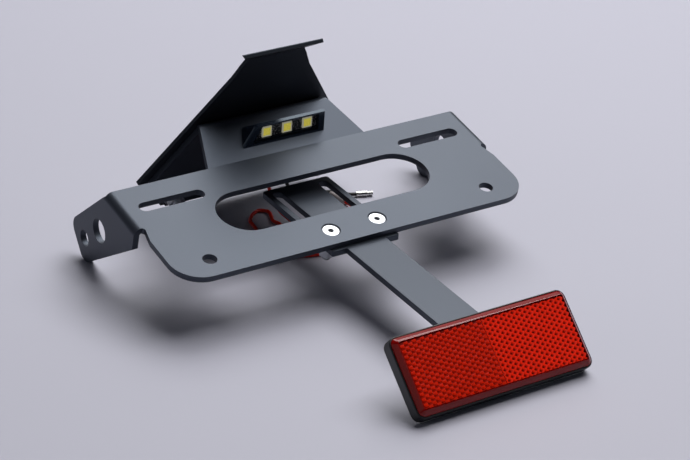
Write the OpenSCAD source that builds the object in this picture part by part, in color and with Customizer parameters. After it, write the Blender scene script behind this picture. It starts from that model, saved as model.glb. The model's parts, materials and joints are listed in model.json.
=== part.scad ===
// Motorbike tail tidy: a folded number plate carrier with indicator ears, a plate light
// on its rear shelf, a bracket that bolts to the bike and a reflector on a sliding arm.
// Millimetres. +X is the rider's right, +Y the rear, +Z up. It stands on a table as shown
// in use off the bike: on its two ear corners and the lower edge of the reflector.

/* [Plate] */
// width of the flat plate, between the ear folds' outer faces less the sheet
plate_w = 190; // [182:1:206]
// depth of the flat plate from its rear fold to its front edge
plate_d = 70.6; // [68:0.1:78]
// thickness of the folded sheet
sheet_t = 3; // [2.5:0.5:3.5]
// radius of the two front corners
front_corner_r = 15; // [8:1:18]

/* [Window and holes] */
// overall width of the round-ended window
window_w = 114; // [90:1:116]
// opening of the window from front to rear
window_h = 29.5; // [24:0.5:30]
// distance from the rear fold to the middle of the window
window_y = 34.35; // [34:0.05:36]
// overall length of each rear slot
slot_len = 34; // [24:0.2:35]
// width of each rear slot
slot_w = 6.4; // [5.2:0.2:6.6]
// distance from the rear fold to the middle of the slots
slot_y = 15.4; // [14:0.1:15.6]
// distance from the plate's side edge to the middle of a slot
slot_edge = 23.7; // [23.5:0.1:26]
// bore of the two number plate holes
plate_hole_d = 6.8; // [5:0.2:8]
// distance of those holes from the plate's side edges
plate_hole_side = 19; // [14:1:24]
// distance of those holes from the plate's front edge
plate_hole_front = 11.2; // [9:0.2:13]
// distance of the arm screws from the midline
screw_x = 12.7; // [11.8:0.1:13.4]
// distance of the arm screws from the plate's front edge
screw_front = 9.8; // [8:0.2:10.4]

/* [Ears] */
// how far the ear folds run forward from the plate's rear edge
ear_front = 29; // [27:1:31]
// inside radius of the ear folds
ear_fold_r = 1; // [0.5:0.5:2]
// bore of the indicator hole
ear_bore = 12; // [8:0.5:13]
// bore of the smaller hole beside it
ear_pin_bore = 8; // [5:0.5:9]
// height of the indicator hole below the plate's top face
ear_bore_drop = 22.9; // [21:0.1:25]
// distance of the indicator hole behind the plate's rear edge
ear_bore_back = 1.3; // [0:0.1:3]
// distance between the two holes of an ear
ear_hole_gap = 18.3; // [16:0.1:20]
// slope of the ear's centre line below the plate
ear_slope = 47; // [44:1:50]
// half width of the ear at the indicator hole
ear_half_w = 12.5; // [11.5:0.1:13.5]
// half width of the ear at the smaller hole
ear_end_half_w = 11.4; // [10.5:0.1:12.5]
// distance from the smaller hole to the ear's end edge
ear_end = 8.9; // [7.5:0.1:10]
// radius of the ear's two free corners
ear_corner_r = 6; // [4:0.5:7]

/* [Light shelf] */
// width of the shelf at its fold
shelf_w = 87.2; // [80:0.2:92]
// width of the shelf at its rear corner
shelf_end_w = 69.4; // [64:0.2:74]
// length of the shelf from its fold to its rear corner
shelf_len = 27.9; // [25:0.1:29]
// rise of the shelf above the plate
shelf_rise = 14.6; // [12:0.1:17]
// inside radius of the shelf's rear fold
shelf_fold_r = 1; // [1:0.5:3]

/* [Rear flange] */
// lean of the flange away from upright
flange_lean = 10; // [8:0.5:12]
// width of the flange at its shoulders
flange_w = 109; // [105:1:112]
// depth of the shoulders below the shelf's rear corner
flange_shoulder = 35.6; // [34:0.1:37]
// width of the flange at its foot
flange_foot_w = 84; // [82:1:90]
// sheet left below the middle of the bracket's bolts
flange_edge = 6.3; // [5.5:0.1:7]

/* [Tail bracket] */
// thickness of the tail bracket's sheet
tail_t = 2; // [1.5:0.5:3]
// width of the tail bracket at its shoulders
tail_w = 120; // [114:1:124]
// depth of those shoulders below the shelf's rear corner
tail_shoulder = 36.4; // [35:0.1:38]
// width of its foot
tail_foot_w = 85; // [84:0.5:94]
// sheet left below the middle of its bolts
tail_edge = 8.8; // [8:0.1:10]
// width where it starts to curve into the neck
tail_waist_w = 42.4; // [40:1:48]
// height of that place above the shelf's rear corner
tail_waist_up = 24; // [20:1:26]
// width of the neck
tail_neck_w = 30.8; // [28:1:36]
// height of the neck's fold above the shelf's rear corner
tail_neck_up = 35.6; // [34:0.1:42]
// width of the top lip's front edge
tail_lip_w = 43.6; // [38:0.2:48]
// length of the top lip
tail_lip_len = 7.6; // [6:0.2:10]
// angle that the top lip is folded forward
tail_lip_bend = 37; // [30:1:45]

/* [Reflector arm] */
// thickness of the arm
arm_t = 3; // [2.5:0.5:3.5]
// slope of the arm against the plate
arm_tilt = 9.3; // [8:0.1:10.5]
// width of the arm's slotted head
arm_head_w = 36.6; // [36:0.2:40]
// length of the slotted head
arm_head_len = 62.9; // [58:0.1:64]
// how far the head shows in front of the plate
arm_head_out = 1.8; // [0:0.1:4]
// width of the narrow arm
arm_w = 21.6; // [18:0.2:24]
// width of the two slots
arm_slot_w = 5.2; // [4.6:0.2:6]
// length of the two slots
arm_slot_len = 51.5; // [44:0.5:53]
// metal left behind the slots
arm_slot_rear = 3.6; // [3:0.1:6]
// reach of the arm from the plate's front edge to its end fold
arm_reach = 88.6; // [80:0.1:95]
// inside radius of the arm's end fold
arm_fold_r = 2; // [1:0.5:3]
// distance from the end fold to the reflector's stud
arm_tab_stud = 11.4; // [10.5:0.1:13]
// metal past the stud
arm_tab_end = 9.6; // [8:0.1:12]

/* [Reflector] */
// slope of the reflector's face against the plate
reflector_slope = 31.1; // [28:0.1:34]
// width of the reflector's housing
reflector_w = 93; // [85:0.5:100]
// height of the reflector's housing
reflector_h = 37.4; // [34:0.2:42]
// depth of the housing from its back to its rim
reflector_d = 5.9; // [5:0.1:8]
// radius of the housing's corners
reflector_r = 4; // [3:0.5:6]
// rim left round the lens
reflector_rim = 0.8; // [0.6:0.1:2]
// height of the lens above the rim
lens_out = 2.6; // [1.5:0.1:3.5]
// width of the bevel along the lens's long sides
lens_bevel = 3.2; // [2:0.1:3.6]
// depth of the lens's seat in the housing
lens_seat = 2; // [1:0.1:2.5]
// distance between the prism rows in the lens's back
prism_pitch = 2.6; // [2.2:0.1:3.4]
// depth of those rows
prism_depth = 1.9; // [1:0.1:2]
// angle of the rows on the left half
prism_turn = 30; // [0:5:45]

/* [Plate light] */
// width of the light
light_w = 46; // [42:1:52]
// offset of the light to the right of the midline
light_x = 1; // [-4:0.5:4]
// distance from the shelf's fold to the light's front edge
light_front = 6.3; // [5.5:0.1:7]
// height of the light above the shelf
light_h = 9.4; // [8.5:0.1:11]
// lean of its front away from upright
light_lean = 24; // [18:1:28]
// depth of its flat top
light_top = 1.6; // [1.4:0.1:4]
// depth of its foot
light_base = 12.4; // [11.5:0.1:13.5]
// how far its left end slopes in
light_end_slope = 4.3; // [3:0.1:5]
// angle that its left end is turned back
light_end_turn = 25; // [15:1:30]
// size of each square light chip
chip_size = 5.2; // [3:0.1:5.4]
// from the window's edge to the middle of the chip beside it
chip_edge = 5.8; // [4.5:0.1:6.5]
// bore of the cable hole in the shelf
cable_bore = 6; // [5.5:0.5:7]

/* [Fasteners] */
// thread of the arm screws and of the light's screws
screw_d = 4; // [3:0.5:4]
// length of the arm screws
screw_len = 16; // [16:1:25]
// thread of the bracket bolts and of the reflector's stud
bolt_d = 5; // [4:0.5:5]
// distance of the bracket bolts from the midline
bolt_x = 40; // [36:0.5:40.5]
// depth of the bracket bolts below the shelf's rear corner
bolt_depth = 47.7; // [46:0.1:48]

/* [Leads] */
// diameter of the two leads
lead_d = 1.8; // [1.2:0.1:1.9]

/* [Hidden] */
$fn = 48;

// folds of the plate
ear_x = plate_w / 2 + sheet_t;
ear_fold_x = plate_w / 2 - ear_fold_r;
ear_lap = 4;
relief_r = 1.6;
relief_len = 9.7;

// ear outline in (Y, Z), worked out from its two holes
ear_axis = [cos(ear_slope), -sin(ear_slope)];
ear_side = [sin(ear_slope), cos(ear_slope)];
ear_hole_1 = [ear_bore_back, -ear_bore_drop];
ear_hole_2 = ear_hole_1 + ear_axis * ear_hole_gap;
ear_tip = ear_hole_2 + ear_axis * ear_end;
ear_taper = (ear_half_w - ear_end_half_w) / ear_hole_gap;
ear_tip_half_w = ear_end_half_w - ear_taper * ear_end;
ear_rear_corner = ear_tip + ear_side * ear_tip_half_w;
ear_low_corner = ear_tip - ear_side * ear_tip_half_w;
ear_rear_root = cross_at(ear_rear_corner, ear_hole_1 + ear_side * ear_half_w, 0);
ear_low_root = cross_at(ear_low_corner, ear_hole_1 - ear_side * ear_half_w, -ear_front);

// shelf and flange
shelf_turn = 90 + shelf_rise - flange_lean;
flange_d = bolt_depth + flange_edge;
tail_d = bolt_depth + tail_edge;
flange_start = (shelf_fold_r + sheet_t) * tan(shelf_turn / 2);
shelf_lap = 4;
crease_r = 0.5;
crease_lead = crease_r * tan(shelf_rise / 2);

// arm
arm_under = arm_t / cos(arm_tilt);
arm_turn = reflector_slope + arm_tilt;
arm_tab_start = (arm_fold_r + arm_t) * tan(arm_turn / 2);
arm_head_start = arm_head_len - arm_head_out;
arm_slot_start = arm_head_start - arm_slot_rear;

// fasteners
screw_head_d = 2 * screw_d;
sink_d = screw_head_d + 1;
sink_depth = (sink_d - screw_head_d) / 2;
screw_bore = screw_d + 0.5;
screw_y = -plate_d + screw_front;
washer_d = 2.25 * screw_d;
washer_t = 0.2 * screw_d;
washer_bore = screw_d + 0.3;
nut_w = 1.75 * screw_d;
nut_h = 1.25 * screw_d;
washer_low_y = screw_front + washer_d / 2;
washer_z = -sheet_t - washer_low_y * tan(arm_tilt) - arm_under;
bolt_bore = bolt_d + 0.5;
bolt_head_d = 1.7 * bolt_d;
bolt_head_h = bolt_d;
bolt_washer_d = 2 * bolt_d;
bolt_washer_t = 0.2 * bolt_d;
bolt_nut_w = 1.6 * bolt_d;
bolt_nut_h = 0.8 * bolt_d;
bolt_end = bolt_washer_t + bolt_nut_h + 2.5;

// reflector
reflector_back = reflector_d + lens_out;
lens_w = reflector_w - 2 * reflector_rim;
lens_h = reflector_h - 2 * reflector_rim;
lens_t = lens_out + lens_seat;
lens_r = reflector_r - reflector_rim + 0.5;
lens_end_bevel = lens_bevel - 0.5;
pocket_rim = 2;
prism_rows = floor((lens_h - 2 * lens_bevel - 0.4) / prism_pitch);
prism_h = prism_rows * prism_pitch;
prism_w = lens_w - 2 * lens_bevel - 1.8;
prism_land = 0.1;
stud_len = arm_t + bolt_washer_t + bolt_nut_h + 3;

// light, seen from the side in (Y, Z) of the shelf
light_cover_t = 1.2;
light_gap = 1.2;
light_board_t = 1;
light_wall = 0.9;
light_face = light_h / cos(light_lean);
cover_left = 6;
cover_right = 3.2;
cover_slope = 5.2;
light_deep = light_cover_t + light_gap + light_board_t;
cover_low = (0.5 + light_cover_t * sin(light_lean)) / cos(light_lean);
board_low = (0.8 + light_deep * sin(light_lean)) / cos(light_lean);
chip_t = 0.9;
chip_first = cover_left - light_w / 2 + cover_slope / 2 + chip_edge;
chip_last = light_w / 2 - cover_right - chip_edge;
light_screw_x = light_w / 2 - 9;
light_screw_y = light_front + light_base / 2;
light_screw_d = screw_d - 1;
light_screw_len = sheet_t + 3;
cable_x = light_x;
cable_y = light_front + light_base / 2;

// The corner that the ears stand on and the edge that the reflector stands on, in (Y, Z)
// of the plate, give the tilt at which the part rests on a table.
foot_centre = corner_centre(ear_rear_corner, ear_low_corner, ear_low_root, ear_corner_r);
arm_end = [-plate_d - arm_reach * cos(arm_tilt), -sheet_t + arm_reach * sin(arm_tilt)];
face_down = [-cos(reflector_slope), -sin(reflector_slope)];
face_out = [-sin(reflector_slope), cos(reflector_slope)];
stud_foot = arm_end + face_down * arm_tab_stud;
reflector_low = stud_foot + face_down * reflector_h / 2;
rest_span = foot_centre - reflector_low;
rest_tilt = asin(ear_corner_r / norm(rest_span)) - atan2(rest_span[1], rest_span[0]);
rest_lift = -(reflector_low[1] * cos(rest_tilt) + reflector_low[0] * sin(rest_tilt));
front_reach = table_y(reflector_low + face_out * reflector_d);
bolt_foot = [crease_lead + shelf_len * cos(shelf_rise), shelf_len * sin(shelf_rise)]
  + [sin(flange_lean), -cos(flange_lean)] * (bolt_depth + bolt_head_d / 2);
rear_reach = table_y(bolt_foot + [cos(flange_lean), sin(flange_lean)] * (tail_t + bolt_head_h));
rest_y = -(front_reach + rear_reach) / 2;

// Y on the table of a point of the plate's (Y, Z)
function table_y(p) = p[0] * cos(rest_tilt) - p[1] * sin(rest_tilt);
function table_z(p) = p[1] * cos(rest_tilt) + p[0] * sin(rest_tilt) + rest_lift;

// where the line through a and b has the given first coordinate
function cross_at(a, b, x) = [x, a[1] + (b[1] - a[1]) * (x - a[0]) / (b[0] - a[0])];
// centre of the arc of radius r that rounds the corner p between a and b
function corner_centre(a, p, b, r) =
  let (u = (a - p) / norm(a - p), v = (b - p) / norm(b - p), half = acos(u * v) / 2)
  p + (u + v) / norm(u + v) * r / sin(half);
// points along that arc, about 9 degrees apart
function corner_arc(a, p, b, r) =
  r == 0 ? [p] :
  let (
    u = (a - p) / norm(a - p), v = (b - p) / norm(b - p), half = acos(u * v) / 2,
    c = corner_centre(a, p, b, r), start = p + u * r / tan(half) - c,
    turn = (u[0] * v[1] - u[1] * v[0] > 0 ? -1 : 1) * (180 - 2 * half), steps = ceil((180 - 2 * half) / 9)
  )
  [for (k = [0 : steps]) c + turned(start, turn * k / steps)];
function turned(v, a) = [v[0] * cos(a) - v[1] * sin(a), v[0] * sin(a) + v[1] * cos(a)];

// Section of a folded sheet of thickness t. Each leaf is [flat length, turn after it, inside
// radius of the turn]; the reference face starts at p and heads along angle a.
function folded(leaves, t, p, a) =
  let (s = stations(leaves, t, p, a, 0), n = len(s))
  concat([for (q = s) q[0]], [for (k = [n - 1 : -1 : 0]) s[k][0] + t * [sin(s[k][1]), -cos(s[k][1])]]);
function stations(leaves, t, p, a, i) =
  i == len(leaves) ? [] :
  let (
    flat = p + leaves[i][0] * [cos(a), sin(a)], turn = leaves[i][1],
    r = turn < 0 ? -leaves[i][2] - t : leaves[i][2], steps = max(1, ceil(abs(turn) / 9)),
    c = flat + r * [-sin(a), cos(a)], angles = turn == 0 ? [] : [for (k = [1 : steps]) a + turn * k / steps],
    arc = [for (b = angles) [c + r * [sin(b), -cos(b)], b]], last = turn == 0 ? [flat, a] : arc[steps - 1]
  )
  concat(i == 0 ? [[p, a]] : [], [[flat, a]], arc, stations(leaves, t, last[0], last[1], i + 1));

// The leads leave the light straight down through the shelf, hang to the table and lie
// there in loose bends. Route points are on the table's axes.
lead_exit = [crease_lead + cable_y * cos(shelf_rise), cable_y * sin(shelf_rise)];
lead_y = table_y(lead_exit) + rest_y;
lead_z = table_z(lead_exit);
lead_down = [sin(shelf_rise + rest_tilt), -cos(shelf_rise + rest_tilt)];
lead_r = lead_d / 2;
red_start = [for (d = [0, 4]) [cable_x - 1.1, lead_y + d * lead_down[0], lead_z + d * lead_down[1]]];
black_start = [for (d = [0, 4]) [cable_x + 1.1, lead_y + d * lead_down[0], lead_z + d * lead_down[1]]];
red_route = [
  [-1, 80, 36], [-2, 79, 27], [-2.5, 77, 19], [0, 73, 10], [5, 68, 4], [9, 62, 1], [8, 56, 1], [4, 54, 1],
  [1, 58, 1], [0.5, 65, 1], [1.5, 73, 1], [0.5, 78, 1], [2.5, 83, 1], [3.5, 88, 1], [0, 91, 1],
  [-5, 88.5, 1], [-9.5, 83, 1], [-11, 76, 1], [-15, 60, 1], [-12, 44, 1], [0, 37, 1], [16, 36.5, 1],
  [31, 41.5, 1], [41, 52, 1], [43.5, 65, 1], [42.5, 74, 1.7]
];
red_end = [42.2, 77, 1.7];
black_route = [
  [3, 80, 36], [5, 78, 26], [9, 74, 15], [14, 68, 6], [16, 60, 1.2], [15, 52, 1], [9, 48, 1], [0, 48.5, 1],
  [-5, 44.5, 1], [0, 40.5, 1], [10, 40, 1], [22, 43.5, 1], [31, 50.5, 1], [34, 61.5, 1], [33, 74, 1],
  [33, 85, 1], [36, 91, 1], [41, 92.5, 1], [45, 90.5, 1], [47.3, 86.5, 1.2], [49.1, 83.5, 1.5]
];
black_end = [51.9, 82.4, 1.5];

// stands the part on the table
module rested() {
  translate([0, rest_y, rest_lift]) rotate([rest_tilt, 0, 0]) children();
}

// the shelf's own axes: Y up along the shelf, Z out of its top face
module on_shelf() {
  rested() translate([0, crease_lead, 0]) rotate([shelf_rise, 0, 0]) children();
}

// the flange's axes at the shelf's rear corner: Y down the flange, Z out of its rear face
module on_flange() {
  on_shelf() translate([0, shelf_len, 0]) rotate([flange_lean - 90 - shelf_rise, 0, 0]) children();
}

// the arm's axes at the plate's lower front edge: Y back along the arm, Z out of its top
module on_arm() {
  rested() translate([0, -plate_d, -sheet_t]) rotate([-arm_tilt, 0, 0]) children();
}

// the reflector's axes at its stud: Y up its face, Z out of its back plane to its face
module on_reflector() {
  on_arm() translate([0, -arm_reach, 0]) rotate([arm_turn, 0, 0])
    translate([0, -arm_tab_stud, 0]) children();
}

// outline with each corner rounded by its own radius
module rounded_outline(points, radii) {
  n = len(points);
  polygon([
    for (i = [0 : n - 1])
      each corner_arc(points[(i + n - 1) % n], points[i], points[(i + 1) % n], radii[i])
  ]);
}

// rectangle about the origin with round corners
module rounded_rectangle(w, h, r) {
  rounded_outline([[-w / 2, -h / 2], [w / 2, -h / 2], [w / 2, h / 2], [-w / 2, h / 2]],
    [r, r, r, r]);
}

// straight slot with round ends, along X, about the origin
module round_slot(len, w) {
  square([len - w, w], center = true);
  for (side = [-1, 1])
    translate([side * (len - w) / 2, 0]) circle(d = w);
}

// extrudes an outline drawn in (Y, Z) along X, centred on the midline
module across(w) {
  rotate([90, 0, 90]) linear_extrude(w, center = true) children();
}

// plate_bracket: plate, ears, shelf and flange folded from one sheet
module plate_outline() {
  x = plate_w / 2;
  difference() {
    rounded_outline([[-x, -plate_d], [x, -plate_d], [x, 0], [-x, 0]],
      [front_corner_r, front_corner_r, 0, 0]);
    translate([0, -window_y]) round_slot(window_w, window_h);
    for (side = [-1, 1]) {
      translate([side * (x - slot_edge), -slot_y]) round_slot(slot_len, slot_w);
      translate([side * (x - plate_hole_side), plate_hole_front - plate_d]) circle(d = plate_hole_d);
      translate([side * screw_x, screw_y]) circle(d = screw_bore);
      mirror([side > 0 ? 0 : 1, 0]) fold_relief();
    }
  }
}

// relief where the ear's fold ends, with the strip that the fold takes up
module fold_relief() {
  x = ear_fold_x - 0.8 + relief_r;
  translate([x, -ear_front - relief_r]) circle(r = relief_r);
  polygon([
    [x - relief_r, -ear_front - relief_r], [plate_w / 2, -ear_front - relief_len],
    [plate_w / 2 + 5, -ear_front - relief_len], [plate_w / 2 + 5, -ear_front], [x, -ear_front]
  ]);
  translate([ear_fold_x, -ear_front - 1]) square([20, ear_front + 2]);
}

module ear_outline() {
  rounded_outline([
    [-ear_front, 1], [0, 1], ear_rear_root, ear_rear_corner, ear_low_corner, ear_low_root
  ], [0, 0, 0, ear_corner_r, ear_corner_r, 0]);
}

// the right ear, folded down from the plate's edge
module ear() {
  difference() {
    intersection() {
      translate([0, 45, 0]) rotate([90, 0, 0]) linear_extrude(95)
        polygon(folded([[ear_lap, -90, ear_fold_r], [80, 0, 0]], sheet_t, [ear_fold_x - ear_lap, 0], 0));
      across(2 * ear_x + 10) ear_outline();
    }
    translate([ear_x - sheet_t - 1, ear_hole_1[0], ear_hole_1[1]]) rotate([0, 90, 0])
      cylinder(d = ear_bore, h = sheet_t + 2);
    translate([ear_x - sheet_t - 1, ear_hole_2[0], ear_hole_2[1]]) rotate([0, 90, 0])
      cylinder(d = ear_pin_bore, h = sheet_t + 2);
  }
}

// countersink for one arm screw
module countersink() {
  translate([0, 0, -sink_d / 2]) cylinder(d1 = 0, d2 = sink_d, h = sink_d / 2);
  cylinder(d = sink_d, h = 1);
}

// shelf and flange as one folded strip, before its sides are cut
module shelf_strip() {
  across(flange_w + 4) polygon(folded([
    [shelf_lap, shelf_rise, crease_r],
    [shelf_len - crease_lead - flange_start, -shelf_turn, shelf_fold_r],
    [flange_d - flange_start, 0, 0]
  ], sheet_t, [-shelf_lap, 0], 0));
}

// metal cut away beside the shelf on the right
module shelf_waste() {
  slope = (shelf_w - shelf_end_w) / 2 / shelf_len;
  far = shelf_len + 6;
  wide = flange_w / 2 + 5;
  intersection() {
    rested() translate([0, 0, -60]) cube([wide, 80, 120]);
    on_shelf() translate([0, 0, -flange_start - 0.5]) linear_extrude(30)
      polygon([[shelf_w / 2 + 5 * slope, -5], [shelf_w / 2 - slope * far, far], [wide, far], [wide, -5]]);
  }
}

// metal cut away beside the flange on the right
module flange_waste() {
  wide = flange_w / 2 + 5;
  slope = (flange_w - shelf_end_w) / 2 / (flange_shoulder - flange_start);
  on_flange() translate([0, 0, -sheet_t - 1]) linear_extrude(sheet_t + 2) polygon([
    [shelf_end_w / 2 - 1.3 * slope, flange_start - 1.3], [flange_w / 2, flange_shoulder],
    [flange_w / 2, flange_shoulder + 2.5], [flange_foot_w / 2, flange_d + 1], [wide, flange_d + 1],
    [wide, flange_start - 1.3]
  ]);
}

module plate_bracket() {
  color("#3b3f45") {
    rested() {
      difference() {
        translate([0, 0, -sheet_t]) linear_extrude(sheet_t) plate_outline();
        for (side = [-1, 1])
          translate([side * screw_x, screw_y, 0]) countersink();
      }
      ear();
      mirror([1, 0, 0]) ear();
    }
    difference() {
      rested() shelf_strip();
      for (side = [0, 1])
        mirror([side, 0, 0]) {
          shelf_waste();
          flange_waste();
          on_flange() translate([bolt_x, bolt_depth, -sheet_t - 1])
            cylinder(d = bolt_bore, h = sheet_t + 2);
        }
      on_shelf() {
        translate([cable_x, cable_y, -sheet_t - 1]) cylinder(d = cable_bore, h = sheet_t + 2);
        for (side = [-1, 1])
          translate([light_x + side * light_screw_x, light_screw_y, -sheet_t - 1])
            cylinder(d = light_screw_d + 0.5, h = sheet_t + 2);
      }
    }
  }
}

// tail_bracket: flat sheet behind the flange, with a lip folded forward at its top
module tail_outline() {
  top = -tail_neck_up - tail_lip_len * cos(tail_lip_bend);
  half = [
    [tail_foot_w / 2, tail_d + 1], [tail_w / 2, tail_shoulder], [tail_waist_w / 2, -tail_waist_up],
    [tail_neck_w / 2 + 2, -tail_waist_up - 8], [tail_neck_w / 2, -tail_neck_up], [tail_lip_w / 2, top],
    [tail_lip_w / 2, top - 1]
  ];
  n = len(half);
  polygon(concat(half, [for (k = [n - 1 : -1 : 0]) [-half[k][0], half[k][1]]]));
}

module tail_bracket() {
  lip_r = 1;
  lip_tangent = lip_r * tan(tail_lip_bend / 2);
  color("#1d1e20") on_flange() difference() {
    intersection() {
      across(tail_w + 4) polygon(folded([
        [tail_d + tail_neck_up - lip_tangent, tail_lip_bend, lip_r], [tail_lip_len - lip_tangent, 0, 0]
      ], tail_t, [tail_d, 0], 180));
      translate([0, 0, -20]) linear_extrude(40) tail_outline();
    }
    for (side = [-1, 1])
      translate([side * bolt_x, bolt_depth, -1]) cylinder(d = bolt_bore, h = tail_t + 2);
  }
}

// reflector_arm: slotted head, narrow arm and folded end tab, from one strip
module arm_outline() {
  rounded_outline([
    [-arm_head_w / 2, -arm_head_out], [arm_head_w / 2, -arm_head_out],
    [arm_head_w / 2, arm_head_start], [-arm_head_w / 2, arm_head_start]
  ], [1, 1, 1.5, 1.5]);
  translate([-arm_w / 2, -arm_reach - 30]) square([arm_w, arm_reach + 30]);
}

module reflector_arm() {
  color("#24262a") difference() {
    on_arm() intersection() {
      across(arm_head_w + 4) mirror([1, 0]) polygon(folded([
        [arm_head_start + arm_reach - arm_tab_start, -arm_turn, arm_fold_r],
        [arm_tab_stud + arm_tab_end - arm_tab_start, 0, 0]
      ], arm_t, [-arm_head_start, 0], 0));
      translate([0, 0, -50]) linear_extrude(60) arm_outline();
    }
    on_arm() for (side = [-1, 1])
      translate([side * screw_x, arm_slot_start - arm_slot_len / 2, -arm_t - 1])
        linear_extrude(arm_t + 2) rotate(90) round_slot(arm_slot_len, arm_slot_w);
    on_reflector() translate([0, 0, -arm_t - 1]) {
      cylinder(d = bolt_bore, h = arm_t + 2);
      for (side = [0, 1])
        mirror([side, 0, 0]) linear_extrude(arm_t + 2) polygon([
          [arm_w / 2 - 4, -arm_tab_end - 1], [arm_w / 2 + 1, 4 - arm_tab_end],
          [arm_w / 2 + 1, -arm_tab_end - 1]
        ]);
    }
  }
}

// reflector_housing: shallow tray that the lens sits in
module reflector_housing() {
  color("#141414") on_reflector() difference() {
    linear_extrude(reflector_d) rounded_rectangle(reflector_w, reflector_h, reflector_r);
    translate([0, 0, reflector_d - lens_seat]) linear_extrude(lens_seat + 1)
      rounded_rectangle(lens_w, lens_h, lens_r);
    translate([0, 0, 1.8]) linear_extrude(reflector_d)
      rounded_rectangle(lens_w - 2 * pocket_rim, lens_h - 2 * pocket_rim, 1.5);
  }
}

// rows of sharp prisms cut up into the lens's back, count of them about the middle
module prism_cut(count) {
  low = -count * prism_pitch / 2;
  across(2 * prism_w) polygon(concat(
    [[low, -1]],
    [for (k = [0 : count - 1]) each [
      [low + k * prism_pitch, prism_land], [low + (k + 0.5) * prism_pitch, prism_land + prism_depth]
    ]],
    [[-low, prism_land], [-low, -1]]
  ));
}

// reflector_lens: bevelled block of clear red with a prismatic back
module reflector_lens() {
  base = reflector_d - lens_seat;
  color("#c8102e") on_reflector() difference() {
    lens_block(base);
    translate([0, 0, base]) for (side = [-1, 1])
      intersection() {
        translate([side * (prism_w / 4 + 0.2), 0, 0]) cube([prism_w / 2, prism_h - 0.6, 8], center = true);
        rotate([0, 0, side < 0 ? -prism_turn : 0]) prism_cut(side < 0 ? 3 * prism_rows : prism_rows + 2);
      }
  }
}

module lens_block(base) {
  intersection() {
    translate([0, 0, base]) linear_extrude(lens_t) rounded_rectangle(lens_w, lens_h, lens_r);
    across(lens_w + 2) polygon([
      [-lens_h / 2, base - 1], [lens_h / 2, base - 1], [lens_h / 2, reflector_d],
      [lens_h / 2 - lens_bevel, reflector_back], [lens_bevel - lens_h / 2, reflector_back],
      [-lens_h / 2, reflector_d]
    ]);
    rotate([90, 0, 0]) linear_extrude(lens_h + 2, center = true) polygon([
      [-lens_w / 2, base - 1], [lens_w / 2, base - 1], [lens_w / 2, reflector_d],
      [lens_w / 2 - lens_end_bevel, reflector_back], [lens_end_bevel - lens_w / 2, reflector_back],
      [-lens_w / 2, reflector_d]
    ]);
  }
}

module reflector_stud() {
  color("#b8bbc0") on_reflector() translate([0, 0, -stud_len]) cylinder(d = bolt_d, h = stud_len);
}

// washer with its top face at the origin
module washer(d, bore, t) {
  translate([0, 0, -t]) linear_extrude(t) difference() {
    circle(d = d);
    circle(d = bore);
  }
}

// hexagon nut with its top face at the origin, w across its flats
module hex_nut(w, bore, h) {
  translate([0, 0, -h]) linear_extrude(h) difference() {
    circle(d = w / cos(30), $fn = 6);
    circle(d = bore);
  }
}

module reflector_washer() {
  color("#c4c7cb") on_reflector() translate([0, 0, -arm_t])
    washer(bolt_washer_d, bolt_d + 0.3, bolt_washer_t);
}

module reflector_nut() {
  color("#c4c7cb") on_reflector() translate([0, 0, -arm_t - bolt_washer_t])
    hex_nut(bolt_nut_w, bolt_d, bolt_nut_h);
}

// countersunk socket screw that clamps the arm
module arm_screw(side) {
  head_h = (screw_head_d - screw_d) / 2;
  color("#d9dbde") rested() translate([side * screw_x, screw_y, -sink_depth]) difference() {
    union() {
      translate([0, 0, -head_h]) cylinder(d1 = screw_d, d2 = screw_head_d, h = head_h);
      translate([0, 0, -screw_len]) cylinder(d = screw_d, h = screw_len - head_h);
    }
    translate([0, 0, -0.4 * screw_d]) cylinder(d = 0.72 * screw_d, h = screw_d, $fn = 6);
  }
}

module arm_washer(side) {
  color("#c4c7cb") rested() translate([side * screw_x, screw_y, washer_z])
    washer(washer_d, washer_bore, washer_t);
}

module arm_nut(side) {
  color("#c4c7cb") rested() translate([side * screw_x, screw_y, washer_z - washer_t])
    hex_nut(nut_w, screw_d, nut_h);
}

// light body's section in the shelf's (Y, Z)
module light_section() {
  polygon([
    [light_front, 0], [light_front + light_base, 0],
    [light_front + light_h * tan(light_lean) + light_top, light_h],
    [light_front + light_h * tan(light_lean), light_h]
  ]);
}

// the light's front axes: X across, Y up its sloping front, Z out of it
module on_light() {
  on_shelf() translate([light_x, light_front, 0]) rotate([90 - light_lean, 0, 0]) children();
}

// window of the light from the given height up, with a sloping left side
module light_window(low) {
  left = cover_left - light_w / 2;
  right = light_w / 2 - cover_right;
  top = light_face - light_wall;
  polygon([[left, low], [right, low], [right, top], [left + cover_slope, top]]);
}

module light_housing() {
  color("#101113") difference() {
    on_shelf() intersection() {
      translate([light_x, 0, 0]) across(light_w) light_section();
      translate([light_x - light_w / 2, light_front, 0]) rotate([90, 0, -light_end_turn])
        linear_extrude(80, center = true) polygon([
          [0, -1], [0, 0], [light_end_slope, light_h], [light_end_slope, light_h + 1],
          [2 * light_w, light_h + 1], [2 * light_w, -1]
        ]);
    }
    on_light() translate([0, 0, -light_cover_t]) linear_extrude(light_cover_t + 1) light_window(cover_low);
    on_light() translate([0, 0, -light_deep]) linear_extrude(light_deep) light_window(board_low);
    on_shelf() for (side = [-1, 1])
      translate([light_x + side * light_screw_x, light_screw_y, -1]) cylinder(d = light_screw_d, h = 4);
  }
}

module light_cover() {
  color("#dfe6ee", 0.4) on_light() translate([0, 0, -light_cover_t])
    linear_extrude(light_cover_t) light_window(cover_low);
}

module light_board() {
  color("#1a1d1a") on_light() translate([0, 0, -light_deep])
    linear_extrude(light_board_t) light_window(board_low);
}

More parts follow.
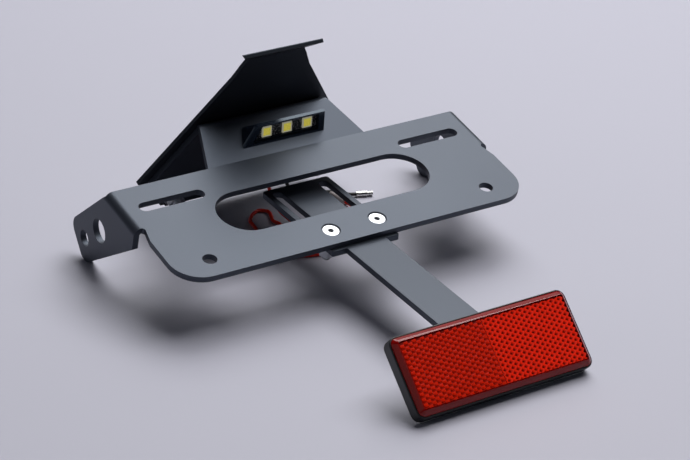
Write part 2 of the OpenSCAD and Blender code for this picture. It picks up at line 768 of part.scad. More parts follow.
// one square chip; place is -1, 0 or 1 from left to right
module light_chip(place) {
  color("#e3e04a") on_light()
    translate([
      ((1 - place) * chip_first + (1 + place) * chip_last) / 2, light_face / 2 + 0.6,
      -light_cover_t - light_gap
    ])
      linear_extrude(chip_t) square(chip_size, center = true);
}

// pan head screw that holds the light from under the shelf
module light_screw(side) {
  color("#c4c7cb") on_shelf() translate([light_x + side * light_screw_x, light_screw_y, -sheet_t]) {
    cylinder(d = light_screw_d, h = light_screw_len);
    translate([0, 0, -0.6 * light_screw_d]) cylinder(d = 2 * light_screw_d, h = 0.6 * light_screw_d);
  }
}

// socket bolt through the tail bracket and the flange
module bracket_bolt(side) {
  color("#c4c7cb") on_flange() translate([side * bolt_x, bolt_depth, 0]) difference() {
    union() {
      translate([0, 0, tail_t]) cylinder(d = bolt_head_d, h = bolt_head_h);
      translate([0, 0, -sheet_t - bolt_end]) cylinder(d = bolt_d, h = sheet_t + bolt_end + tail_t);
    }
    translate([0, 0, tail_t + bolt_head_h / 2]) cylinder(d = 0.92 * bolt_d, h = bolt_head_h, $fn = 6);
  }
}

module bracket_washer(side) {
  color("#c4c7cb") on_flange() translate([side * bolt_x, bolt_depth, -sheet_t])
    washer(bolt_washer_d, bolt_d + 0.3, bolt_washer_t);
}

module bracket_nut(side) {
  color("#c4c7cb") on_flange() translate([side * bolt_x, bolt_depth, -sheet_t - bolt_washer_t])
    hex_nut(bolt_nut_w, bolt_d, bolt_nut_h);
}

// point and direction on a smooth curve through the route's points, t from 0 to 1
function spline(a, b, c, d, t) =
  0.5 * (2 * b + (c - a) * t + (2 * a - 5 * b + 4 * c - d) * t * t + (3 * b - a - 3 * c + d) * t * t * t);
// points along that curve, one more between two route points for each `gap` they lie apart
function smooth(p, gap) =
  let (n = len(p))
  [
    for (i = [0 : n - 2], steps = max(1, round(norm(p[i + 1] - p[i]) / gap)), k = [0 : steps - 1])
      spline(i > 0 ? p[i - 1] : 2 * p[0] - p[1], p[i], p[i + 1],
        i < n - 2 ? p[i + 2] : 2 * p[n - 1] - p[n - 2], k / steps),
    p[n - 1]
  ];
function unit(v) = v / norm(v);
function heading(p, i) =
  unit(i == 0 ? p[1] - p[0] : i == len(p) - 1 ? p[i] - p[i - 1] : p[i + 1] - p[i - 1]);
// carries the side direction along the path without twist
function frames(p, i = 0, side = [1, 0, 0], list = []) =
  i == len(p) ? list :
  let (t = heading(p, i), s = unit(side - t * (side * t)))
  frames(p, i + 1, s, concat(list, [[s, cross(t, s)]]));

// round tube swept along a list of points
module tube(p, r, sides = 8) {
  f = frames(p);
  n = len(p);
  points = [
    for (i = [0 : n - 1], k = [0 : sides - 1])
      p[i] + r * (f[i][0] * cos(360 * k / sides) + f[i][1] * sin(360 * k / sides))
  ];
  faces = concat(
    [[for (k = [0 : sides - 1]) k]],
    [
      for (i = [0 : n - 2], k = [0 : sides - 1])
        [i * sides + k, (i + 1) * sides + k, (i + 1) * sides + (k + 1) % sides, i * sides + (k + 1) % sides]
    ],
    [[for (k = [sides - 1 : -1 : 0]) (n - 1) * sides + k]]
  );
  polyhedron(points, faces, convexity = 4);
}

ring_gap = 3.3 * lead_d;
red_path = concat([red_start[0]], smooth(concat([red_start[1]], red_route), ring_gap), [red_end]);
black_path = concat([black_start[0]], smooth(concat([black_start[1]], black_route), ring_gap), [black_end]);

// plug at the end of a path: a sleeve and a thinner bullet tip
module plug(path, sleeve_d, sleeve_len, tip_d, tip_len) {
  end = path[len(path) - 1];
  along = heading(path, len(path) - 1);
  translate(end) rotate([0, acos(along[2]), atan2(along[1], along[0])]) {
    cylinder(d = sleeve_d, h = sleeve_len);
    translate([0, 0, sleeve_len]) cylinder(d = tip_d, h = tip_len);
  }
}

module lead_red() {
  color("#c81e22") tube(red_path, lead_r);
}

module lead_black() {
  color("#1a1a1a") tube(black_path, lead_r);
}

module plug_red() {
  color("#e8c9c9") plug(red_path, 3.4, 8, 2.4, 4);
}

module plug_black() {
  color("#d0d2d6") plug(black_path, 3, 5.5, 2.4, 3);
}

plate_bracket();
tail_bracket();
reflector_arm();
reflector_housing();
reflector_lens();
reflector_stud();
reflector_washer();
reflector_nut();
arm_screw(-1);  // arm_screw_left
arm_screw(1);  // arm_screw_right
arm_washer(-1);  // arm_washer_left
arm_washer(1);  // arm_washer_right
arm_nut(-1);  // arm_nut_left
arm_nut(1);  // arm_nut_right
light_housing();
light_cover();
light_board();
light_chip(-1);  // light_chip_left
light_chip(0);  // light_chip_middle
light_chip(1);  // light_chip_right
light_screw(-1);  // light_screw_left
light_screw(1);  // light_screw_right
bracket_bolt(-1);  // bracket_bolt_left
bracket_bolt(1);  // bracket_bolt_right
bracket_washer(-1);  // bracket_washer_left
bracket_washer(1);  // bracket_washer_right
bracket_nut(-1);  // bracket_nut_left
bracket_nut(1);  // bracket_nut_right
lead_red();
lead_black();
plug_red();
plug_black();
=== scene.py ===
# %% [markdown]
# # A motorbike tail tidy, dressed for a studio shot
#
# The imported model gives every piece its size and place. This lesson adds what only a close
# look shows: softened sheet edges, a prismatic red lens, tiny chips with yellow fillings,
# limp wires, and a finish for each material. We work in metres, on the model's own axes.

# %% Open the frame
import json
import math

import bpy
from mathutils import Matrix, Vector

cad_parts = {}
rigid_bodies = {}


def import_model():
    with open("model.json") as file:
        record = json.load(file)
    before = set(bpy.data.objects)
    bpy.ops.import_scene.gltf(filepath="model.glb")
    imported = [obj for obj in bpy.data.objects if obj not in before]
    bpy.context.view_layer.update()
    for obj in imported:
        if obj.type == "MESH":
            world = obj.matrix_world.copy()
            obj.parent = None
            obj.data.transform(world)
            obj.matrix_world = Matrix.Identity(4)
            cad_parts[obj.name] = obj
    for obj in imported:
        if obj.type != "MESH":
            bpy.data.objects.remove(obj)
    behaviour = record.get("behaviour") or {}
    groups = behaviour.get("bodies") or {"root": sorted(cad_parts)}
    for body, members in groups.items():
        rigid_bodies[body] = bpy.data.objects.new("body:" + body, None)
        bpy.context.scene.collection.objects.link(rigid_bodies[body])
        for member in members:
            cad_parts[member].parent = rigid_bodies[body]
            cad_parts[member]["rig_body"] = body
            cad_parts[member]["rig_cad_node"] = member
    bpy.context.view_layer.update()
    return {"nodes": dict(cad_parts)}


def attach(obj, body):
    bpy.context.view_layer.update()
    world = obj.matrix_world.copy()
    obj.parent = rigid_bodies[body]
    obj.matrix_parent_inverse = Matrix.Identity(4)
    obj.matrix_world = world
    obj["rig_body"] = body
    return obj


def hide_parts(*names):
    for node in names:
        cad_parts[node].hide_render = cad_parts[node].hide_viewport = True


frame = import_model()
MM = 0.001
nodes = frame["nodes"]
print("nodes in the frame:", len(nodes))

# %% [markdown]
# ## The camera
#
# The photograph was taken from the front left, above, with a long lens. A long lens keeps
# parallel edges nearly parallel, so the camera stands a metre away and looks through a
# narrow angle.

# %% Camera
CAMERA_PLACE = (-543.866, -796.636, 516.080)
CAMERA_TURN = (63.24483, -1.89792, -32.90929)
FOCAL_LENGTH = 122.657
SENSOR_WIDTH = 36.0
SEES_TO = 20.0

camera_data = bpy.data.cameras.new("photo_camera")
camera = bpy.data.objects.new("photo_camera", camera_data)
bpy.context.scene.collection.objects.link(camera)
camera.location = Vector(CAMERA_PLACE) * MM
camera.rotation_euler = [math.radians(a) for a in CAMERA_TURN]
camera_data.lens = FOCAL_LENGTH
camera_data.sensor_width = SENSOR_WIDTH
camera_data.clip_end = SEES_TO
bpy.context.scene.camera = camera
print("camera distance in m:", round(camera.location.length, 3))

# %% [markdown]
# ## Small helpers
#
# Operators act on whatever is selected, and the frame's nodes arrive selected. So one helper
# selects a single object, and others pick faces or edges by their place.

# %% Helpers for modelling
def only(obj):
    bpy.ops.object.select_all(action="DESELECT")
    obj.select_set(True)
    bpy.context.view_layer.objects.active = obj


def apply_place(obj):
    only(obj)
    bpy.ops.object.transform_apply(location=True, rotation=True, scale=True)
    return obj


def block(name, size, centre=(0, 0, 0)):
    bpy.ops.object.select_all(action="DESELECT")
    bpy.ops.mesh.primitive_cube_add(size=1, location=centre)
    obj = bpy.context.object
    obj.name = obj.data.name = name
    obj.scale = size
    return apply_place(obj)


def leave_edit():
    bpy.ops.object.mode_set(mode="OBJECT")


def pick(obj, kind, test):
    """Selects the edges or faces whose corner points pass the test, and stays in edit mode."""
    only(obj)
    bpy.ops.object.mode_set(mode="EDIT")
    bpy.ops.mesh.select_mode(type="EDGE" if kind == "edges" else "FACE")
    bpy.ops.mesh.select_all(action="DESELECT")
    leave_edit()
    points = obj.data.vertices
    for item in obj.data.edges if kind == "edges" else obj.data.polygons:
        item.select = bool(test([points[i].co for i in item.vertices]))
    bpy.ops.object.mode_set(mode="EDIT")


def apply_modifiers(obj):
    only(obj)
    for modifier in list(obj.modifiers):
        bpy.ops.object.modifier_apply(modifier=modifier.name)


def smooth(obj, degrees):
    only(obj)
    bpy.ops.object.shade_smooth_by_angle(angle=math.radians(degrees))


def stand(obj, turn_x, place):
    """Turns a piece built flat about X and puts it in its place, in its mesh."""
    turn = Matrix.Rotation(math.radians(turn_x), 4, "X")
    obj.matrix_world = Matrix.Translation(Vector(place) * MM) @ turn
    apply_place(obj)


def facing(tilt):
    """The way the front of a piece looks once it stands at this tilt."""
    return Vector((0, -math.sin(math.radians(tilt)), math.cos(math.radians(tilt))))


# %% [markdown]
# ## The two leads
#
# The plate light has a red and a black wire, thin and limp, that drop through the shelf and
# lie on the table in loose bends. Each is a curve through the route's points, rounded off
# between them, with a round bevel. The bevel is one metre and each point scales it down to
# the wire's radius, so that Blender's box round the curve stays true.

# %% Lead routes
LEAD_D = 1.8
TABLE_GAP = 0.05
CURVE_STEPS = 8
red_points = [
    (-0.1, 76.771, 50.067), (-0.1, 78.601, 46.510), (-1, 80, 36), (-2, 79, 27), (-2.5, 77, 19), (0, 73, 10),
    (5, 68, 4), (9, 62, 1), (8, 56, 1), (4, 54, 1), (1, 58, 1), (0.5, 65, 1), (1.5, 73, 1), (0.5, 78, 1),
    (2.5, 83, 1), (3.5, 88, 1), (0, 91, 1), (-5, 88.5, 1), (-9.5, 83, 1), (-11, 76, 1), (-15, 60, 1),
    (-12, 44, 1), (0, 37, 1), (16, 36.5, 1), (31, 41.5, 1), (41, 52, 1), (43.5, 65, 1), (42.5, 74, 1.7),
    (42.2, 77, 1.7),
]
black_points = [
    (2.1, 76.771, 50.067), (2.1, 78.601, 46.510), (3, 80, 36), (5, 78, 26), (9, 74, 15), (14, 68, 6),
    (16, 60, 1.2), (15, 52, 1), (9, 48, 1), (0, 48.5, 1), (-5, 44.5, 1), (0, 40.5, 1), (10, 40, 1),
    (22, 43.5, 1), (31, 50.5, 1), (34, 61.5, 1), (33, 74, 1), (33, 85, 1), (36, 91, 1), (41, 92.5, 1),
    (45, 90.5, 1), (47.3, 86.5, 1.2), (49.1, 83.5, 1.5), (51.9, 82.4, 1.5),
]


def through(points):
    """A smooth curve through the middle points, never below the table. The ends stay straight."""
    first, middle, last = points[0], [Vector(p) for p in points[1:-1]], points[-1]
    made = [Vector(first)]
    for i in range(len(middle) - 1):
        b, c = middle[i], middle[i + 1]
        a = middle[i - 1] if i else 2 * b - c
        d = middle[i + 2] if i + 2 < len(middle) else 2 * c - b
        for k in range(CURVE_STEPS):
            t = k / CURVE_STEPS
            made.append(0.5 * (2 * b + (c - a) * t + (2 * a - 5 * b + 4 * c - d) * t ** 2
                               + (3 * b - a - 3 * c + d) * t ** 3))
    made += [middle[-1], Vector(last)]
    return [Vector((p.x, p.y, max(p.z, LEAD_D / 2 + TABLE_GAP))) * MM for p in made]


def lead(name, points, cad_node):
    route = through(points)
    data = bpy.data.curves.new(name, "CURVE")
    data.dimensions = "3D"
    data.bevel_depth = 1.0
    data.bevel_resolution = 4
    data.use_fill_caps = True
    spline = data.splines.new("POLY")
    spline.points.add(len(route) - 1)
    for point, place in zip(spline.points, route):
        point.co = (*place, 1)
        point.radius = LEAD_D / 2 * MM
    spline.use_smooth = True
    obj = bpy.data.objects.new(name, data)
    bpy.context.scene.collection.objects.link(obj)
    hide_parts(cad_node)
    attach(obj, "root")
    return obj


# %% Make the leads
red_lead = lead("red_lead", red_points, "lead_red")
black_lead = lead("black_lead", black_points, "lead_black")

# %% [markdown]
# ## Sheet edges that catch the light
#
# Cut and coated sheet has no razor edge. A copy of each sheet piece is merged, its flat
# faces are joined again, and a narrow bevel runs along every sharp edge.

# %% Softened copies of the sheet and moulded pieces
SIDES = ("left", "right")
WELD = 1e-6
FLAT_ANGLE = 0.6
SHARP_ANGLE = 32
SMOOTH_ANGLE = 30
END_ROUND = 2.4
END_STEPS = 6


def softened(node, name, width, round_end=None):
    obj = nodes[node].copy()
    obj.data = nodes[node].data.copy()
    obj.name = obj.data.name = name
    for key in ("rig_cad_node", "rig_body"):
        if key in obj:
            del obj[key]
    obj.parent = None
    bpy.context.scene.collection.objects.link(obj)
    only(obj)
    bpy.ops.object.mode_set(mode="EDIT")
    bpy.ops.mesh.select_all(action="SELECT")
    bpy.ops.mesh.remove_doubles(threshold=WELD)
    bpy.ops.mesh.dissolve_limited(angle_limit=math.radians(FLAT_ANGLE))
    leave_edit()
    if round_end:
        pick(obj, "edges", round_end)
        bpy.ops.mesh.bevel(offset=END_ROUND * MM, segments=END_STEPS, affect="EDGES", clamp_overlap=True)
        leave_edit()
    bevel = obj.modifiers.new("edge", "BEVEL")
    bevel.width = width * MM
    bevel.segments = 2
    bevel.limit_method = "ANGLE"
    bevel.angle_limit = math.radians(SHARP_ANGLE)
    bevel.use_clamp_overlap = True
    even = obj.modifiers.new("even", "WEIGHTED_NORMAL")
    even.keep_sharp = True
    even.weight = 100
    smooth(obj, SMOOTH_ANGLE)
    apply_modifiers(obj)
    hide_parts(node)
    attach(obj, "root")
    print(name, "faces:", len(obj.data.polygons))
    return obj


carrier = softened("plate_bracket", "carrier_sheet", 0.22)
tail_sheet = softened("tail_bracket", "tail_sheet", 0.2)
arm_sheet = softened("reflector_arm", "arm_sheet", 0.2)
tray = softened("reflector_housing", "reflector_tray", 0.35)
arm_screws = [softened("arm_screw_" + side, "countersunk_screw_" + side, 0.12) for side in SIDES]

# %% [markdown]
# The light's left end is turned back and well rounded. Its face is found by its plane: three
# of its corners, measured on the light's own face, give the plane's normal.

# %% Rounded end of the light
LAMP_TILT = 93.234693
LAMP_PLACE = (1, 71.258, 47.230)
LAMP_END_X = -23
LAMP_END_NORMAL = (-116.6, 75.9, -25.7)
ON_PLANE = 0.06
lamp_turn = Matrix.Rotation(math.radians(LAMP_TILT), 4, "X")
lamp_corner = Matrix.Translation(Vector(LAMP_PLACE) * MM) @ lamp_turn @ (Vector((LAMP_END_X, 0, 0)) * MM)
lamp_normal = lamp_turn @ Vector(LAMP_END_NORMAL).normalized()


def on_turned_end(points):
    return all(abs((p - lamp_corner).dot(lamp_normal)) < ON_PLANE * MM for p in points)


lamp_body = softened("light_housing", "lamp_body", 0.3, round_end=on_turned_end)

# %% [markdown]
# ## The prismatic lens
#
# A reflex reflector is a clear red block. Its back is moulded into rows of cube corners that
# throw light back. We make one corner from a six-sided cone: lowering every other rim point
# turns its six flat sides into three square mirrors. Then it is repeated in two directions.
# The two halves face opposite ways and get their own painted light levels, so they never look alike. Each
# corner also stores how far it is from its tip, and which mirror a face belongs to. The red finish paints
# shade and light with both: a darker tip, and its own painted light level for each mirror.

# %% Cube corners
LENS_TILT = 43.734692
LENS_PLACE = (0, -99.327, 12.928)
LENS_W, LENS_H, LENS_BACK, LENS_FRONT = 91.4, 35.8, 3.9, 8.5
CORNER = 2.44
CORNERS_ACROSS = 28
CORNER_DEPTH = 1.3
SIDE_MARGIN, END_MARGIN = 2.9, 2.3
HALF_GAP = 0.1


def cube_corners(name, low, high, turn, mirror_light_levels, tip_level):
    step = CORNER * MM
    rise = step / math.sqrt(6)
    bpy.ops.object.select_all(action="DESELECT")
    bpy.ops.mesh.primitive_cone_add(vertices=6, radius1=step / math.sqrt(3), radius2=0, depth=2 * rise,
                                    end_fill_type="NOTHING")
    obj = bpy.context.object
    obj.name = obj.data.name = name
    obj.rotation_euler = (math.pi, 0, 0)
    apply_place(obj)
    rim = sorted((v for v in obj.data.vertices if v.co.z > 0), key=lambda v: math.atan2(v.co.y, v.co.x))
    for v in rim[::2]:
        v.co.z -= rise
    # The tip and mirror levels stored here are painted shade and painted light for the red finish.
    tip = obj.data.attributes.new("tip", "FLOAT", "POINT")
    for v in obj.data.vertices:
        tip.data[v.index].value = tip_level if v.co.xy.length < step / 10 else 0.0
    mirror = obj.data.attributes.new("mirror", "FLOAT", "FACE")
    far = [v.index for v in rim[1::2]]
    for face in obj.data.polygons:
        mirror.data[face.index].value = next(level for i, level in zip(far, mirror_light_levels) if i in face.vertices)
    for offset in ((step, 0, 0), (step / 2, step * math.sqrt(3) / 2, 0)):
        array = obj.modifiers.new("repeat", "ARRAY")
        array.count = CORNERS_ACROSS
        array.use_relative_offset = False
        array.use_constant_offset = True
        array.constant_offset_displace = offset
        array.use_merge_vertices = True
        array.merge_threshold = 0.02 * MM
    apply_modifiers(obj)
    steps = CORNERS_ACROSS - 1
    span = Vector((steps * 1.5, steps * math.sqrt(3) / 2, 0)) * step / 2
    obj.data.transform(Matrix.Rotation(math.radians(turn), 4, "Z") @ Matrix.Translation(-span))
    centre = Vector(((low[0] + high[0]) / 2, (low[1] + high[1]) / 2, 0)) * MM
    obj.data.transform(Matrix.Translation(centre))
    only(obj)
    for point, normal in ((low, (-1, 0, 0)), (high, (1, 0, 0)), (low, (0, -1, 0)), (high, (0, 1, 0))):
        bpy.ops.object.mode_set(mode="EDIT")
        bpy.ops.mesh.select_all(action="SELECT")
        bpy.ops.mesh.bisect(plane_co=(point[0] * MM, point[1] * MM, 0), plane_no=normal, clear_outer=True)
        leave_edit()
    print(name, "faces:", len(obj.data.polygons))
    return obj


half_w, half_h = LENS_W / 2 - END_MARGIN, LENS_H / 2 - SIDE_MARGIN
# Each half gets its own painted light level for each mirror and its own painted shade at the tip.
corners_left = cube_corners("corners_left", (-half_w, -half_h), (-HALF_GAP, half_h), 270, (0.08, 0.22, 0.9),
                            0.55)
corners_right = cube_corners("corners_right", (HALF_GAP, -half_h), (half_w, half_h), 90, (1.0, 0.74, 0.6),
                             0.95)
for half in (corners_left, corners_right):
    half.data.transform(Matrix.Translation((0, 0, (LENS_FRONT - CORNER_DEPTH) * MM)))
    stand(half, LENS_TILT, LENS_PLACE)
    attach(half, "root")

# %% [markdown]
# The block over the corners starts as a cube. Its upright edges are rounded, its front rim
# gets the wide moulded slope, and a last fine bevel softens every edge.

# %% Lens block
LENS_ROUND = 3
LENS_SLOPE = 2.2
LENS_SOFT = 0.25
lens = block("lens_block", (LENS_W * MM, LENS_H * MM, (LENS_FRONT - LENS_BACK) * MM),
             (0, 0, (LENS_FRONT + LENS_BACK) / 2 * MM))
pick(lens, "edges", lambda p: abs(p[0].x - p[1].x) < 1e-6 and abs(p[0].y - p[1].y) < 1e-6)
bpy.ops.mesh.bevel(offset=LENS_ROUND * MM, segments=6, affect="EDGES")
leave_edit()
pick(lens, "edges", lambda p: min(q.z for q in p) > (LENS_FRONT - 0.01) * MM)
bpy.ops.mesh.bevel(offset=LENS_SLOPE * MM, segments=1, affect="EDGES")
leave_edit()
soft = lens.modifiers.new("soft", "BEVEL")
soft.width = LENS_SOFT * MM
soft.segments = 3
soft.limit_method = "ANGLE"
soft.angle_limit = math.radians(25)
apply_modifiers(lens)
smooth(lens, 20)
stand(lens, LENS_TILT, LENS_PLACE)
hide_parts("reflector_lens")
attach(lens, "root")
print("lens faces:", len(lens.data.polygons))

# %% [markdown]
# ## The three chips
#
# Each chip is a white square frame with a shallow well of yellow phosphor. A block gets its
# front face inset, and the inner face is pushed in.

# %% Chips
CHIP = 5.2
CHIP_THICK = 0.9
CHIP_FRAME = 0.62
WELL_DEPTH = 0.14
CHIP_SOFT = 0.08
CHIP_MIDDLE = 3.0
CHIP_PITCH = 11.3
CHIP_HEIGHT = 10.29 / 2 + 0.3
CHIP_BACK = -2.4


def chip(name, place, cad_node):
    obj = block(name, (CHIP * MM, CHIP * MM, CHIP_THICK * MM), (0, 0, CHIP_THICK / 2 * MM))
    pick(obj, "faces", lambda p: min(q.z for q in p) > (CHIP_THICK - 0.1) * MM)
    bpy.ops.mesh.inset(thickness=CHIP_FRAME * MM)
    bpy.ops.transform.translate(value=(0, 0, -WELL_DEPTH * MM))
    leave_edit()
    soft_edge = obj.modifiers.new("soft", "BEVEL")
    soft_edge.width = CHIP_SOFT * MM
    soft_edge.segments = 2
    soft_edge.limit_method = "ANGLE"
    apply_modifiers(obj)
    obj.data.transform(Matrix.Translation(Vector((place, CHIP_HEIGHT, CHIP_BACK)) * MM))
    stand(obj, LAMP_TILT, LAMP_PLACE)
    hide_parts(cad_node)
    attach(obj, "root")
    return obj


chips = [chip("chip_" + side, CHIP_MIDDLE + offset * CHIP_PITCH, "light_chip_" + side)
         for side, offset in (("left", -1), ("middle", 0), ("right", 1))]
print("chips made:", len(chips))

# %% [markdown]
# ## Finishes
#
# Every material is named for what it is on the real object; where light or shade is painted into
# it, its notes say so. Colours are given as the usual hex codes and turned into the linear values that the
# renderer works with.

# %% Helpers for finishes
def colour(code):
    parts = [int(code[i:i + 2], 16) / 255 for i in (1, 3, 5)]
    return tuple(c / 12.92 if c <= 0.04045 else ((c + 0.055) / 1.055) ** 2.4 for c in parts) + (1,)


class Finish:
    """One material, with a short way to add a node: settings first, then inputs by name."""

    def __init__(self, name, base, roughness=0.5, metallic=0.0, **shader):
        self.material = bpy.data.materials.new(name)
        self.material.use_nodes = True
        self.tree = self.material.node_tree
        self.shader = self.tree.nodes["Principled BSDF"]
        self.set("Base Color", colour(base))
        self.set("Roughness", roughness)
        self.set("Metallic", metallic)
        for key, value in shader.items():
            self.set(key.replace("_", " "), value)
        self.place = self.tree.nodes.new("ShaderNodeTexCoord").outputs["Object"]

    def set(self, socket, value):
        if isinstance(value, bpy.types.NodeSocket):
            self.tree.links.new(value, self.shader.inputs[socket])
        else:
            self.shader.inputs[socket].default_value = value

    def add(self, kind, settings=None, **inputs):
        made = self.tree.nodes.new("ShaderNode" + kind)
        for key, value in (settings or {}).items():
            setattr(made, key, value)
        for key, value in inputs.items():
            by_number = key[0] == "i" and key[1:].isdigit()
            target = made.inputs[int(key[1:]) if by_number else key.replace("_", " ")]
            if isinstance(value, bpy.types.NodeSocket):
                self.tree.links.new(value, target)
            else:
                target.default_value = value
        return made

    def noise(self, scale, detail=2.0, roughness=0.5):
        made = self.add("TexNoise", Vector=self.place, Scale=scale, Detail=detail, Roughness=roughness)
        return made.outputs["Fac"]

    def blend(self, factor, low, high):
        """A colour that runs from low to high with the factor."""
        mix = self.add("Mix", {"data_type": "RGBA"}, i0=factor, i6=colour(low), i7=colour(high))
        return mix.outputs[2]

    def between(self, factor, low, high):
        return self.add("MapRange", Value=factor, To_Min=low, To_Max=high).outputs["Result"]

    def bump(self, height, strength, distance):
        made = self.add("Bump", Height=height, Strength=strength, Distance=distance)
        self.set("Normal", made.outputs["Normal"])


def dress(finish, *pieces):
    for piece in pieces:
        obj = nodes[piece] if isinstance(piece, str) else piece
        obj.data.materials.clear()
        obj.data.materials.append(finish.material)


# %% [markdown]
# ** Powder coat.** Sheet steel is sprayed with fine powder and baked. The coat flows into a
# faint orange-peel skin with a satin shine. Two noises do it: a fine one for the grain and a
# broad one for the slow change in shine. The blue tint on its reflections is painted reflection colour.

# %% Powder coat on the three sheets
COAT_DEPTH = 0.04
PLASTIC_DEPTH = 0.03
METAL_DEPTH = 0.02


def powder_coat(name, dark, light, low, high, grain):
    coat = Finish(name, dark, 0.5)
    broad = coat.noise(14, 3)
    coat.set("Base Color", coat.blend(broad, dark, light))
    coat.set("Roughness", coat.between(broad, low, high))
    coat.set("Specular IOR Level", 0.75)
    # A blue tint on everything the coat reflects: painted reflection colour.
    coat.set("Specular Tint", (0.69, 0.80, 1.0, 1))
    coat.bump(coat.noise(2600, 3, 0.6), grain, COAT_DEPTH * MM)
    return coat


carrier_coat = powder_coat("carrier_powder_coat", "#272a31", "#2c2f37", 0.42, 0.5, 0.35)
tail_coat = powder_coat("tail_powder_coat", "#08080a", "#0b0b0d", 0.5, 0.58, 0.3)
arm_coat = powder_coat("arm_powder_coat", "#2b2e35", "#31343b", 0.42, 0.5, 0.3)
dress(carrier_coat, carrier)
dress(tail_coat, tail_sheet)
dress(arm_coat, arm_sheet)

# %% [markdown]
# ** Moulded plastics.** The tray has a fine spark-eroded grain. The light's body is smooth and
# glossy black. Its dark blue base and the blue tint on its reflections are a painted blue sheen.

# %% Tray and light body
tray_plastic = Finish("tray_plastic", "#17181a", 0.45)
tray_plastic.set("Roughness", tray_plastic.between(tray_plastic.noise(60, 3), 0.36, 0.5))
tray_plastic.bump(tray_plastic.noise(5200, 2), 0.25, PLASTIC_DEPTH * MM)
dress(tray_plastic, tray)
# The dark blue base and the blue reflection tint paint a blue sheen on the black body.
lamp_plastic = Finish("lamp_plastic", "#1a2230", 0.14, IOR=1.6)
lamp_plastic.set("Specular Tint", (0.7, 0.85, 1.0, 1))
lamp_plastic.set("Roughness", lamp_plastic.between(lamp_plastic.noise(90, 3), 0.1, 0.18))
lamp_plastic.bump(lamp_plastic.noise(700, 2), 0.06, PLASTIC_DEPTH * MM)
dress(lamp_plastic, lamp_body)

# %% [markdown]
# ** Clear red.** The block is polished and lets light through, and its sloping rim looks
# deeper. The corners throw light back, so they look brighter than paint: a weak red glow is painted light
# that stands for it. Each has a dark tip, and one of its three mirrors is darker: painted shade.

# %% Lens finishes
lens_red = Finish("lens_red", "#3a0403", 0.04, IOR=1.7, Alpha=0.14)
lens_red.set("Roughness", lens_red.between(lens_red.noise(120, 2), 0.03, 0.07))
lens_rim = Finish("lens_rim_red", "#7a0a08", 0.06, IOR=1.42, Alpha=0.9)
lens_rim.set("Base Color", lens_rim.blend(lens_rim.noise(50, 2), "#6c0403", "#a80a05"))
dress(lens_red, lens)
lens.data.materials.append(lens_rim.material)
for face in lens.data.polygons:
    face.material_index = 0 if face.normal.dot(facing(LENS_TILT)) > 0.99 else 1

# Painted light and shade: each corner's tone runs from a shaded dark red to a lit bright red, set by its tip
# and mirror levels and by random patches in that light.
corner_red_painted_light = Finish("corner_red_painted_light", "#ff3010", 0.3)
tip = corner_red_painted_light.add("Attribute", {"attribute_name": "tip"}).outputs["Fac"]
dark_tip_shade = corner_red_painted_light.add("MapRange", Value=tip, From_Min=0.2, From_Max=0.7, To_Min=1.0, To_Max=0.1)
mirror = corner_red_painted_light.add("Attribute", {"attribute_name": "mirror"}).outputs["Fac"]
lit = corner_red_painted_light.add("Math", {"operation": "MULTIPLY"}, i0=dark_tip_shade.outputs["Result"], i1=mirror).outputs["Value"]
light_patches = corner_red_painted_light.between(corner_red_painted_light.noise(220, 3), 0.75, 1.15)
lit = corner_red_painted_light.add("Math", {"operation": "MULTIPLY", "use_clamp": True}, i0=lit, i1=light_patches).outputs["Value"]
painted_corner_light = corner_red_painted_light.blend(lit, "#3c0201", "#ff2c0c")
corner_red_painted_light.set("Base Color", painted_corner_light)
# The corners glow in that same tone: painted light, as they are no lamp.
corner_red_painted_light.set("Emission Color", painted_corner_light)
corner_red_painted_light.set("Emission Strength", 0.4)
corner_red_painted_light.set("Roughness", corner_red_painted_light.between(corner_red_painted_light.noise(900, 2), 0.2, 0.35))
dress(corner_red_painted_light, corners_left, corners_right)

# %% [markdown]
# ** Under the light's clear cover.** The cover is plain clear plastic. The board is dark, with
# bright specks of solder. A chip has a white frame and a yellow well. Both glow a little: the frame's glow is
# painted light, and the well's is painted light along with the phosphor's own faint fluorescence.

# %% Light finishes
cover_clear = Finish("cover_clear", "#0c0e12", 0.03, IOR=1.6, Alpha=0.12)
cover_clear.set("Roughness", cover_clear.between(cover_clear.noise(200, 2), 0.02, 0.06))
dress(cover_clear, "light_cover")
board = Finish("board_lacquer", "#16181a", 0.4)
cells = board.add("TexVoronoi", Vector=board.place, Scale=1500.0)
specks = board.add("ValToRGB", Fac=cells.outputs["Distance"])
specks.color_ramp.elements[0].position = 0.12
specks.color_ramp.elements[0].color = (1, 1, 1, 1)
specks.color_ramp.elements[1].position = 0.42
specks.color_ramp.elements[1].color = (0, 0, 0, 1)
board.set("Base Color", board.blend(specks.outputs["Color"], "#303238", "#ffffff"))
dress(board, "light_board")

chip_frame_painted_glow = Finish("chip_frame_painted_glow", "#f2efe2", 0.5)
frame_tone_and_glow = chip_frame_painted_glow.blend(chip_frame_painted_glow.noise(900), "#f4f1d8", "#e6e2c4")
chip_frame_painted_glow.set("Base Color", frame_tone_and_glow)
# The frame glows in its own tone: painted light, as the chip is not switched on.
chip_frame_painted_glow.set("Emission Color", frame_tone_and_glow)
chip_frame_painted_glow.set("Emission Strength", 0.3)
phosphor = Finish("chip_phosphor_with_painted_glow", "#f2e63c", 0.6)
phosphor_tone_and_glow = phosphor.blend(phosphor.noise(1600, 3), "#e6d628", "#fff27a")
phosphor.set("Base Color", phosphor_tone_and_glow)
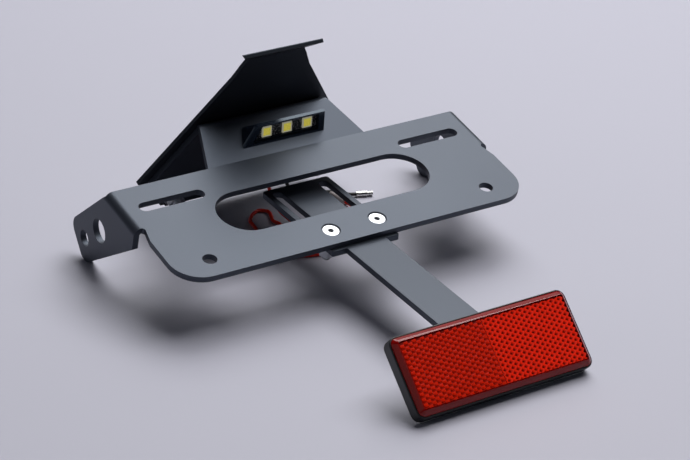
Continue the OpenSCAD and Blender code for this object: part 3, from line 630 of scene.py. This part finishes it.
# The well glows in its own tone: painted light, with a little of the phosphor's real fluorescence.
phosphor.set("Emission Color", phosphor_tone_and_glow)
phosphor.set("Emission Strength", 0.5)
for obj in chips:
    dress(chip_frame_painted_glow, obj)
    obj.data.materials.append(phosphor.material)
    fronts = [f for f in obj.data.polygons if f.normal.dot(facing(LAMP_TILT)) > 0.95]
    middle = sum((f.center for f in fronts), Vector()) / len(fronts)
    for f in fronts:
        if (f.center - middle).length < 0.4 * MM:
            f.material_index = 1

# %% [markdown]
# **Metal fasteners.** Bright screws are turned stainless steel. Nuts, washers and bolts are
# zinc plated: a little bluer and duller, with a faint mottling.

# %% Metal finishes
bright = Finish("turned_stainless", "#b4b6ba", 0.4, 1.0)
bright.set("Roughness", bright.between(bright.noise(1400, 3), 0.34, 0.48))
bright.bump(bright.noise(3000, 2), 0.08, METAL_DEPTH * MM)
dress(bright, *arm_screws, "reflector_stud", "light_screw_left", "light_screw_right")
zinc = Finish("zinc_plate", "#d6d9de", 0.4, 0.85)
zinc.set("Base Color", zinc.blend(zinc.noise(700, 3), "#ccd0d6", "#e4e5e8"))
zinc.set("Roughness", zinc.between(zinc.noise(500, 3), 0.34, 0.5))
paired = ("arm_washer", "arm_nut", "bracket_bolt", "bracket_washer", "bracket_nut")
dress(zinc, "reflector_washer", "reflector_nut", *[kind + "_" + side for kind in paired for side in SIDES])

# %% [markdown]
# **Wire and plugs.** Soft insulation has a low sheen. The sleeve is pale, the bullet is tin
# bright.

# %% Wire finishes
red_wire = Finish("red_insulation", "#e8200c", 0.38)
red_wire.set("Base Color", red_wire.blend(red_wire.noise(400), "#e01c0a", "#f43214"))
dress(red_wire, red_lead)
black_wire = Finish("black_insulation", "#131315", 0.4)
black_wire.set("Roughness", black_wire.between(black_wire.noise(500), 0.34, 0.48))
dress(black_wire, black_lead)
sleeve = Finish("pale_sleeve", "#a9a3a4", 0.4)
sleeve.set("Base Color", sleeve.blend(sleeve.noise(500), "#9c9698", "#bcb2b0"))
dress(sleeve, "plug_red")
tin = Finish("tinned_plug", "#d0cfcb", 0.25, 1.0)
tin.set("Roughness", tin.between(tin.noise(1200, 3), 0.2, 0.36))
dress(tin, "plug_black")

# %% [markdown]
# ## The studio
#
# A pale table runs out of the picture. Each large face mirrors one part of the room, so each
# gets a soft light there: the plate sees the high one behind, the shelf the one overhead, the
# light's top edge and the lens's slope the low one, and the rounded ends the one at the left.

# %% Table, lights and room
TABLE_SIZE = 9
ROOM_STRENGTH = 0.055
bpy.ops.object.select_all(action="DESELECT")
bpy.ops.mesh.primitive_plane_add(size=TABLE_SIZE)
table = bpy.context.object
table.name = "table_top"
apply_place(table)
table_paint = Finish("table_top", "#bdbcc9", 0.6)
dress(table_paint, table)
print("table size in m:", [round(d, 2) for d in table.dimensions])


def softbox(name, place, size, power):
    """A soft light in metres and watts, turned towards the middle of the part."""
    data = bpy.data.lights.new(name, "AREA")
    data.shape = "RECTANGLE"
    data.size, data.size_y = size
    data.energy = power
    obj = bpy.data.objects.new(name, data)
    bpy.context.scene.collection.objects.link(obj)
    obj.location = place
    obj.rotation_euler = (-Vector(place)).to_track_quat("-Z", "Y").to_euler()


softbox("back_light", (0.68, 1.05, 1.43), (1.3, 1.0), 15)
softbox("low_back_light", (1.1, 1.55, 1.0), (1.9, 0.6), 2.4)
softbox("top_light", (0.78, 0.2, 1.72), (1.5, 1.5), 28)
softbox("left_fill", (-1.8, -0.15, 0.9), (1.9, 0.9), 1.5)
world = bpy.data.worlds.new("room")
bpy.context.scene.world = world
world.use_nodes = True
world.node_tree.nodes["Background"].inputs["Color"].default_value = colour("#d4dcf0")
world.node_tree.nodes["Background"].inputs["Strength"].default_value = ROOM_STRENGTH
bpy.context.scene.view_settings.view_transform = "Standard"
